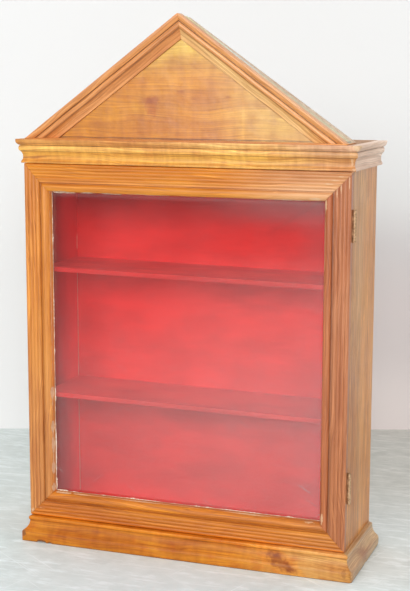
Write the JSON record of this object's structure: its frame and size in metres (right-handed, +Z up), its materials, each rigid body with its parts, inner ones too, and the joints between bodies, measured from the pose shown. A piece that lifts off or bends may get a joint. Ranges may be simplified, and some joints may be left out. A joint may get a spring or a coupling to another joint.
{
  "type": "thimble display case",
  "caption": "Glazed wooden display case with a hinged, reeded glass door, moulded cornice and plinth, a triangular pediment and shelves in a red painted interior.",
  "frame": {"origin": "centre of the footprint, on the surface the case stands on", "axes": "+X to the right seen from the front, +Y towards the back, +Z up"},
  "size_m": [0.4364, 0.1432, 0.6641],
  "materials": {
    "varnished_wood": "honey varnish, satin",
    "side_wood": "honey varnish, satin; red paint on the inner faces",
    "red_painted_wood": "matt red paint",
    "bare_wood": "unfinished",
    "clear_glass": "clear, slightly dusty",
    "aged_brass": "tarnished",
    "steel": "dull"
  },
  "bodies": {
    "case": {"side_left": "side_wood", "side_right": "side_wood", "top_board": "varnished_wood", "bottom_board": "red_painted_wood", "back_panel": "red_painted_wood", "shelf_upper": "red_painted_wood", "shelf_lower": "red_painted_wood", "head_rail": "varnished_wood", "cornice_front": "varnished_wood", "cornice_left": "varnished_wood", "cornice_right": "varnished_wood", "plinth_front": "varnished_wood", "plinth_left": "varnished_wood", "plinth_right": "varnished_wood", "base_blocks": "bare_wood", "pediment_base": "varnished_wood", "tympanum_panel": "varnished_wood", "rake_left": "varnished_wood", "rake_right": "varnished_wood", "pediment_batten_left": "bare_wood", "pediment_batten_right": "bare_wood", "pediment_blocks": "bare_wood", "top_nails": "steel", "back_pins": "steel", "catch_barrel": "aged_brass", "catch_ball": "steel", "hinge_upper_case_leaf": "aged_brass", "hinge_upper_pin": "aged_brass", "hinge_lower_case_leaf": "aged_brass", "hinge_lower_pin": "aged_brass", "hinge_screws_case": "aged_brass"},
    "door": {"door_stile_left": "varnished_wood", "door_stile_right": "varnished_wood", "door_rail_top": "varnished_wood", "door_rail_bottom": "varnished_wood", "door_mitre_tongues": "bare_wood", "glass_pane": "clear_glass", "bead_left": "varnished_wood", "bead_right": "varnished_wood", "bead_top": "varnished_wood", "bead_bottom": "varnished_wood", "catch_strike": "aged_brass", "strike_pins": "aged_brass", "hinge_upper_door_leaf": "aged_brass", "hinge_lower_door_leaf": "aged_brass", "hinge_screws_door": "aged_brass"}
  },
  "joints": [
    {"name": "door_hinge", "type": "hinge", "parent": "case", "child": "door", "pos_m": [0.20715, -0.0482, 0.265], "axis": [0, 0, 1], "range_deg": [0, 180]}
  ]
}
